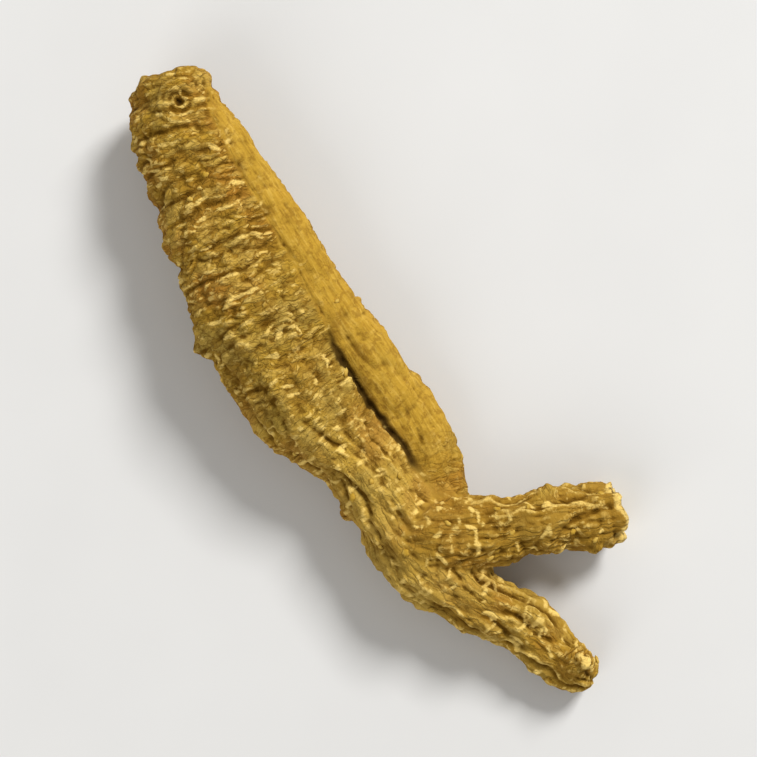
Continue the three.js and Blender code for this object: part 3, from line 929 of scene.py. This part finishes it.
def skin_finish(colours):
    """Dry, papery, golden brown skin: painted highlight and wear on crests, painted shade and dirt
    in creases.
    """
    shader = Shader("root_skin")
    step = shader.step
    where = shader.add("ShaderNodeTexCoord", output="Object")
    along = shader.add("ShaderNodeSeparateXYZ", None, {"Vector": where}, "X")
    flow = shader.attribute("flow", "Vector")
    raised, edge, dash, flesh, lobe, legs, side, groove, rim, joint, core = map(
        shader.attribute, "raised edge dash flesh lobe legs side groove rim joint core".split())
    blotch, tint, cloud, speck, mottle, patches = (
        shader.noise(where, *sizes) for sizes in SKIN_NOISE.values())
    streak = shader.noise(shader.stretched(flow, STREAK_STRETCH), 1.0, 5.0, 0.6)
    drift = shader.noise(flow, 0.9, 3.0, 0.5, "Color")
    bent = shader.add("ShaderNodeVectorMath", {"operation": "MULTIPLY_ADD"}, {
        0: drift, 1: (BEND_REACH,) * 3, 2: flow})
    border, tone = shader.plates(bent, PLATE_STRETCH)
    long_border, long_tone = shader.plates(bent, SLIVER_STRETCH)
    border = border + (long_border - border) * legs
    tone = tone + (long_tone - tone) * legs
    fine_border, fine_tone = shader.plates(bent, FINE_STRETCH)

    def broken(value, low, high, clouded=0.0, specked=0.0):
        """A step whose edge is broken up by clouds and specks."""
        for noise_value, amount in ((cloud, clouded), (speck, specked)):
            if amount:
                value = value + (noise_value - 0.5) * amount
        return step(value, low, high)

    bark = (1 - lobe * 0.85) * (1 - joint)
    far = step(along, *LEG_TURNS_DARK)
    # Painted shade, with some dirt, goes into the hollows of the relief and the cracks between the
    # plates.
    low = 1 - broken(raised, 0.18, 0.5, clouded=0.3)
    crack = (1 - broken(border, 0.0, 0.1, specked=0.12)) * bark
    chink = (1 - broken(fine_border, 0.0, 0.08, specked=0.12)) * bark
    cluster = step(patches, 0.4, 0.62) * 0.7 + 0.3
    # Painted highlight, with some worn paleness, goes onto raised flecks and the tops of ridges.
    fleck = step(fine_tone, 0.74, 0.8) * step(fine_border, 0.1, 0.2)
    fleck = fleck * broken(edge, 0.42, 0.6, clouded=0.8) * bark * cluster
    high = broken(edge, 0.6, 0.88, clouded=0.7, specked=0.6) * cluster
    calm = shader.mix(step(cloud, 0.36, 0.66), colours.skin_dark,
                      shader.mix(lobe, colours.skin, colours.lobe))
    core = core + (cloud - 0.5) * 0.16
    pith = shader.layers(colours.flesh, (
        (step(speck, 0.42, 0.66) * 0.5, colours.flesh_dark),
        (step(core, 0.56, 0.66) * (1 - step(core, 0.66, 0.78)) * 0.75, colours.flesh_dark),
        (step(core, 0.8, 0.98) * 0.5, colours.skin_pale),
    ))
    colour = shader.layers(colours.skin_dark, (
        (step(blotch, 0.36, 0.64), colours.skin),
        (step(tint, 0.48, 0.62) * 0.75, colours.skin_warm),
        ((1 - step(tint, 0.34, 0.48)) * 0.6, colours.skin_cool),
        (step(tone, 0.45, 1.0) * 0.5, colours.skin_pale),
        ((1 - step(tone, 0.0, 0.4)) * 0.45, colours.skin_dark),
        (lobe * 0.85, colours.lobe),
        (lobe * step(blotch, 0.5, 0.68) * 0.5, colours.lobe_dark),
        (lobe * step(cloud, 0.52, 0.7) * 0.6, colours.lobe_dark),
        (lobe * step(streak, 0.5, 0.66) * 0.45, colours.lobe_pale),
        (lobe * (1 - step(streak, 0.36, 0.46)) * 0.45, colours.lobe_dark),
        (lobe * step(mottle, 0.52, 0.62) * 0.6, colours.lobe_dark),
        (legs * step(streak, 0.45, 0.7) * 0.25, colours.skin_pale),
        (joint * 0.7, calm),
        (legs * (1 - far) * (1 - side) * 0.4, colours.skin_pale),
        # Painted shade: the side leg, which faces the key light more, is painted darker. The far
        # ends of the legs are darker too.
        (far * 0.3 + side * 0.65, colours.skin_dark),
        # Painted shade, with some dirt: broad hollows, close hollows, and cracks between the
        # plates.
        (low * 0.8, colours.crease_shade_and_dirt),
        ((1 - broken(edge, 0.16, 0.46, specked=0.3)) * 0.75, colours.crease_shade_and_dirt),
        (crack * (0.5 - legs * 0.2), colours.crease_shade_and_dirt),
        (chink * (0.3 - legs * 0.26), colours.crease_shade_and_dirt),
        # Painted shade in the groove beside the lobe; the stem scar's eye gets the same dark
        # colour.
        (broken(groove, 0.25, 0.9, clouded=0.4) * 0.9 * (1 - flesh), colours.groove),
        # Painted highlight, with some worn paleness, on raised flecks and ridge tops.
        (fleck * 0.75, colours.crest),
        (high * (0.85 - lobe * 0.5), colours.crest),
        (broken(dash, 0.22, 1.0, clouded=0.9, specked=0.9) * 0.8, colours.dash),
        (broken(rim, 0.3, 0.95, clouded=1.2, specked=0.8) * 0.8, colours.dash),
        (flesh * 0.9, pith),
    ))

    rough = 0.88 - high * 0.06 - lobe * 0.08 + low * 0.06
    plate = step(border, 0.0, 0.22) * 0.5 + step(fine_border, 0.0, 0.16) * (0.35 - legs * 0.25)
    height = speck * 0.3 + cloud * (lobe * 0.35 + 0.35) + plate * bark + streak * lobe * 0.8
    return shader.finish(colour, rough, Normal=shader.bump(height, 0.8, 0.26), **DRY)


def knob_finish(colours):
    """The broken ends of hair roots: skin-coloured, with paler clouds and darker specks."""
    shader = Shader("root_knobs")
    where = shader.add("ShaderNodeTexCoord", output="Object")
    cloud = shader.noise(where, 900.0, 4.0, 0.6)
    speck = shader.noise(where, 3200.0, 3.0, 0.6)
    colour = shader.layers(colours.skin, (
        (shader.step(cloud, 0.35, 0.65), colours.skin_pale),
        (shader.step(speck, 0.5, 0.75) * 0.5, colours.skin_dark),
    ))
    return shader.finish(colour, 0.88, Normal=shader.bump(speck, 0.6, 0.08), **DRY)


def table_finish(colour):
    """Plain pale board with the faintest mottling."""
    shader = Shader("pale_table")
    cloud = shader.noise(shader.add("ShaderNodeTexCoord", output="Object"), 30.0, 3.0)
    shade = tuple(0.97 * part for part in colour)
    return shader.finish(shader.mix(shader.step(cloud, 0.3, 0.7), colour, shade), 0.7)


# Knobs, scattered by geometry nodes.

KNOB_ON_TRUNK = 0.35  # how many there are on the trunk, for each on a leg
KNOB_BELOW = (-0.5, -0.2)  # how far down the skin faces where there are none, and where all are
KNOB_SWELL = 0.3
KNOB_SMALLEST, KNOB_LARGEST = (0.55, 0.55, 0.45), (1.25, 0.95, 0.85)


class GeometryTree(Nodes):
    """A geometry node tree with its sizes as named inputs."""

    def __init__(self, name, sizes):
        super().__init__(bpy.data.node_groups.new(name, "GeometryNodeTree"))
        face = self.tree.interface
        face.new_socket("Geometry", in_out="INPUT", socket_type="NodeSocketGeometry")
        self.keys = {}
        for label, value in sizes.items():
            kind = "NodeSocketInt" if isinstance(value, int) else "NodeSocketFloat"
            socket = face.new_socket(label, in_out="INPUT", socket_type=kind)
            socket.default_value = value
            self.keys[label] = socket.identifier
        face.new_socket("Geometry", in_out="OUTPUT", socket_type="NodeSocketGeometry")
        given = self.tree.nodes.new("NodeGroupInput")
        self.given = {
            label: Value(self, given.outputs[label]) for label in ("Geometry", *sizes)}


def knob_tree(sizes, material):
    """Flattened, uneven knobs set on the skin, more of them on the legs."""
    tree = GeometryTree("knobs_on_skin", sizes)
    add, given = tree.add, tree.given
    legs = add("GeometryNodeInputNamedAttribute", {"data_type": "FLOAT"}, {"Name": "legs"})
    facing = add("ShaderNodeSeparateXYZ", None, {"Vector": add("GeometryNodeInputNormal")}, "Z")
    wanted = add("ShaderNodeMapRange", None, {"Value": legs, "To Min": KNOB_ON_TRUNK})
    upper = add("ShaderNodeMapRange", None, {
        "Value": facing, "From Min": KNOB_BELOW[0], "From Max": KNOB_BELOW[1]})
    points = add("GeometryNodeDistributePointsOnFaces", {"distribute_method": "POISSON"}, {
        "Mesh": given["Geometry"], "Distance Min": given["Spacing"],
        "Density Max": given["Density"], "Density Factor": wanted * upper,
        "Seed": given["Seed"]}, "Points")
    turned = Value(tree, points.socket.node.outputs["Rotation"])
    ball = add("GeometryNodeMeshIcoSphere", None, {"Radius": given["Radius"], "Subdivisions": 2})
    place = add("GeometryNodeInputPosition")
    wobble = add("ShaderNodeTexNoise", None, {
        "Vector": place, "Scale": 1.4 / sizes["Radius"], "Detail": 1.0})
    swell = add("ShaderNodeMapRange", None, {
        "Value": wobble, "From Min": 0.3, "From Max": 0.7,
        "To Min": -KNOB_SWELL, "To Max": KNOB_SWELL})
    moved = add("ShaderNodeVectorMath", {"operation": "SCALE"}, {"Vector": place, "Scale": swell})
    lumpy = add("GeometryNodeSetPosition", None, {"Geometry": ball, "Offset": moved})
    size = add("FunctionNodeRandomValue", {"data_type": "FLOAT_VECTOR"}, {
        0: KNOB_SMALLEST, 1: KNOB_LARGEST, "Seed": given["Seed"]})
    placed = add("GeometryNodeInstanceOnPoints", None, {
        "Points": points, "Instance": lumpy, "Rotation": turned, "Scale": size})
    real = add("GeometryNodeRealizeInstances", None, {"Geometry": placed})
    smooth = add("GeometryNodeSetShadeSmooth", None, {"Geometry": real})
    add("NodeGroupOutput", None, {
        0: add("GeometryNodeSetMaterial", None, {"Geometry": smooth, "Material": material})})
    return tree


# What a user can change.


def number(name, description, value, kind=FloatProperty, **more):
    return kind(name=name, description=description, default=value, **more)


def length(name, description, value):
    return number(name, description, value, min=0.0)


def colour(name, description, value):
    return number(name, description, value, FloatVectorProperty,
                  subtype="COLOR", size=3, min=0.0, max=1.0)


class GINSENG_PG_root(bpy.types.PropertyGroup):
    """Sizes of the skin's relief in millimetres, and its colours."""

    voxel: length("Mesh step", "Distance between the skin's points, in millimetres", 0.23)
    softness: length("Joint softness", "How widely limbs melt into each other, in mm", 0.42)
    ridge_spacing: length("Plate spacing", "Between the fine plates of skin, in mm", 1.0)
    ridge_height: length("Plate height", "Of the fine plates, in mm", 0.3)
    wrinkle_height: length("Wrinkle height", "Of the fine lengthwise wrinkles, in mm", 0.24)
    knob_height: length("Lump height", "Of small lumps in the skin, in mm", 0.3)
    grain_height: length("Grain height", "Of the papery grain, in mm", 0.05)
    dash_height: length("Dash height", "How far corky dashes stand out, in mm", 0.12)
    dashes: number("Dashes", "How many corky dashes lie across the limbs", 430, IntProperty, min=0)
    dash_length: number("Dash lengths", "Shortest and longest dash, in mm", (0.7, 2.2),
                        FloatVectorProperty, size=2)
    dash_width: number("Dash widths", "Narrowest and widest dash, in mm", (0.38, 0.75),
                       FloatVectorProperty, size=2)
    seed: number("Seed", "Draw of the dashes", 7, IntProperty)
    skin: colour("Skin", "Golden brown of the skin", srgb(180, 142, 48))
    # Dark skin is also painted over the side leg as shade.
    skin_dark: colour("Dark skin", "Darker blotches of the skin", srgb(148, 110, 34))
    skin_pale: colour("Pale skin", "Dusty patches of the skin", srgb(202, 168, 80))
    skin_warm: colour("Warm skin", "Redder patches of the skin", srgb(164, 114, 40))
    skin_cool: colour("Cool skin", "Greyer patches of the skin", srgb(144, 122, 56))
    lobe: colour("Lobe", "Smoother, more orange skin of the lobe", srgb(186, 146, 48))
    lobe_dark: colour("Dark lobe", "Browner blotches of the lobe", srgb(142, 104, 30))
    lobe_pale: colour("Lobe streaks", "Paler streaks along the lobe", srgb(214, 176, 80))
    # Painted shade, with some dirt, in the creases and cracks.
    crease_shade_and_dirt: colour("Creases", "Bottom of the creases", srgb(100, 68, 8))
    # Painted shade in the groove beside the lobe.
    groove: colour("Groove", "Between the trunk and the lobe", srgb(50, 32, 5))
    # Painted highlight on the ridge tops, with some worn paleness.
    crest: colour("Crests", "Worn tops of the ridges", srgb(228, 194, 106))
    dash: colour("Dashes", "Corky dashes", srgb(238, 204, 114))
    flesh: colour("Cut flesh", "Where the root was cut or broken", srgb(232, 208, 142))
    flesh_dark: colour("Dark flesh", "Veins in the cut flesh", srgb(190, 146, 58))


class GINSENG_PG_knobs(bpy.types.PropertyGroup):
    """Knobs where hair roots broke off."""

    spacing: length("Spacing", "Least distance between knobs, in mm", 2.6)
    density: length("Density", "Knobs for each square metre of skin", 26000.0)
    radius: length("Radius", "Usual radius of a knob, in mm", 0.42)
    seed: number("Seed", "Draw of the knobs", 5, IntProperty)


class GINSENG_PG_stage(bpy.types.PropertyGroup):
    """Table, lights and camera."""

    table: colour("Table", "Pale table top", (0.70, 0.695, 0.68))
    turn: number("Camera turn", "Turn of the picture about the vertical", math.radians(54.4),
                 subtype="ANGLE")
    width: number("Picture width", "Width of table that the picture shows", 0.084,
                  unit="LENGTH")
    lens: number("Lens", "Focal length in mm", 100.0)
    key: number("Key light", "Power of the key light", 23.0)
    fill: number("Fill light", "Power of the fill light", 5.0)
    sky: number("Sky", "Strength of the light from all round", 0.34)


# The pieces and the stage.

TABLE_HALF = 0.6  # half its width, in metres
TABLE_GAP = 0.02 * MM  # so that the table's face doesn't lie in the root's resting patch
LIGHTS = {  # to the picture's right, towards its top and up, and then the size in metres
    "key": (0.75, 1.0, 1.0, 0.42),
    "fill": (-0.7, -0.9, 0.9, 0.84),
}
LIGHT_AWAY = 0.9  # metres for each 1 in the first three
ROOM = (1.0, 0.985, 0.96, 1.0)  # the faintly warm light from all round
ROOT_MIDDLE = 6 * MM  # the height that the camera's distance is measured from


def show(mesh, name):
    piece = bpy.data.objects.new(name, mesh)
    bpy.context.scene.collection.objects.link(piece)
    return piece


class GINSENG_OT_grow_root(bpy.types.Operator):
    """Grow the root's wrinkled skin from its limbs"""

    bl_idname = "ginseng.grow_root"
    bl_label = "Grow root"

    def execute(self, context):
        sizes = context.scene.ginseng_root
        mesh = grow_skin(sizes)
        mesh.materials.clear()
        mesh.materials.append(skin_finish(sizes))
        piece = show(mesh, "root_body")
        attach(piece, "root")
        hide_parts("root")
        return {"FINISHED"}


class GINSENG_OT_scatter_knobs(bpy.types.Operator):
    """Scatter small knobs over the skin, where hair roots broke off"""

    bl_idname = "ginseng.scatter_knobs"
    bl_label = "Scatter knobs"

    def execute(self, context):
        knobs = context.scene.ginseng_knobs
        sizes = {
            "Spacing": knobs.spacing * MM, "Density": knobs.density,
            "Radius": knobs.radius * MM, "Seed": knobs.seed,
        }
        tree = knob_tree(sizes, knob_finish(context.scene.ginseng_root))
        carrier = show(bpy.data.objects["root_body"].data.copy(), "knob_carrier")
        modifier = carrier.modifiers.new("knobs", "NODES")
        modifier.node_group = tree.tree
        for label, value in sizes.items():
            modifier[tree.keys[label]] = value
        made = carrier.evaluated_get(context.evaluated_depsgraph_get())
        mesh = bpy.data.meshes.new_from_object(made)
        old = carrier.data
        bpy.data.objects.remove(carrier)
        bpy.data.meshes.remove(old)
        if not mesh.polygons:
            raise RuntimeError("no knobs were scattered")
        piece = show(mesh, "root_knobs")
        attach(piece, "root")
        return {"FINISHED"}


class GINSENG_OT_set_stage(bpy.types.Operator):
    """Lay the pale table and set the lights and the camera"""

    bl_idname = "ginseng.set_stage"
    bl_label = "Set stage"

    def execute(self, context):
        stage = context.scene.ginseng_stage
        low, high = CAD_BOX
        middle = (low + high) / 2
        middle.z = 0
        half = TABLE_HALF
        mesh = bpy.data.meshes.new("table")
        corners = [(-half, -half), (half, -half), (half, half), (-half, half)]
        mesh.from_pydata([(x, y, -TABLE_GAP) for x, y in corners], [], [(0, 1, 2, 3)])
        mesh.materials.append(table_finish(stage.table))
        show(mesh, "table")

        right = Vector((math.cos(stage.turn), math.sin(stage.turn), 0))
        above = Vector((-math.sin(stage.turn), math.cos(stage.turn), 0))
        for name, (x, y, z, size) in LIGHTS.items():
            place = x * right + y * above + Vector((0, 0, z))
            lamp = bpy.data.lights.new(name, "AREA")
            lamp.size = size
            lamp.energy = getattr(stage, name)
            light = bpy.data.objects.new(name, lamp)
            light.location = middle + LIGHT_AWAY * place
            light.rotation_euler = (-place).to_track_quat("-Z", "Y").to_euler()
            context.scene.collection.objects.link(light)

        world = bpy.data.worlds.new("soft_room")
        world.use_nodes = True
        background = world.node_tree.nodes["Background"]
        background.inputs["Color"].default_value = ROOM
        background.inputs["Strength"].default_value = stage.sky
        context.scene.world = world
        context.scene.view_settings.view_transform = "Standard"

        lens = bpy.data.cameras.new("camera")
        lens.lens = stage.lens
        lens.clip_start, lens.clip_end = 0.01, 10.0
        camera = bpy.data.objects.new("camera", lens)
        away = stage.width * lens.lens / lens.sensor_width
        camera.location = middle + Vector((0, 0, away + ROOT_MIDDLE))
        camera.rotation_euler = (0, 0, stage.turn)
        context.scene.collection.objects.link(camera)
        context.scene.camera = camera
        return {"FINISHED"}


class GINSENG_PT_panel(bpy.types.Panel):
    """The root's sizes and the buttons that make it"""

    bl_idname = "GINSENG_PT_panel"
    bl_label = "Ginseng root"
    bl_space_type = "VIEW_3D"
    bl_region_type = "UI"
    bl_category = "Ginseng"

    def draw(self, context):
        for group, operator in (
            (context.scene.ginseng_root, GINSENG_OT_grow_root),
            (context.scene.ginseng_knobs, GINSENG_OT_scatter_knobs),
            (context.scene.ginseng_stage, GINSENG_OT_set_stage),
        ):
            column = self.layout.column()
            for name in group.__annotations__:
                column.prop(group, name)
            column.operator(operator.bl_idname)


GROUPS = {
    "ginseng_root": GINSENG_PG_root,
    "ginseng_knobs": GINSENG_PG_knobs,
    "ginseng_stage": GINSENG_PG_stage,
}
CLASSES = (
    *GROUPS.values(), GINSENG_OT_grow_root, GINSENG_OT_scatter_knobs, GINSENG_OT_set_stage,
    GINSENG_PT_panel,
)


def register():
    for one in CLASSES:
        bpy.utils.register_class(one)
    for name, group in GROUPS.items():
        setattr(bpy.types.Scene, name, PointerProperty(type=group))


def unregister():
    for name in GROUPS:
        delattr(bpy.types.Scene, name)
    for one in reversed(CLASSES):
        bpy.utils.unregister_class(one)


def main():
    register()
    bpy.ops.ginseng.set_stage()
    bpy.ops.ginseng.grow_root()
    bpy.ops.ginseng.scatter_knobs()


if __name__ == "__main__":
    main()
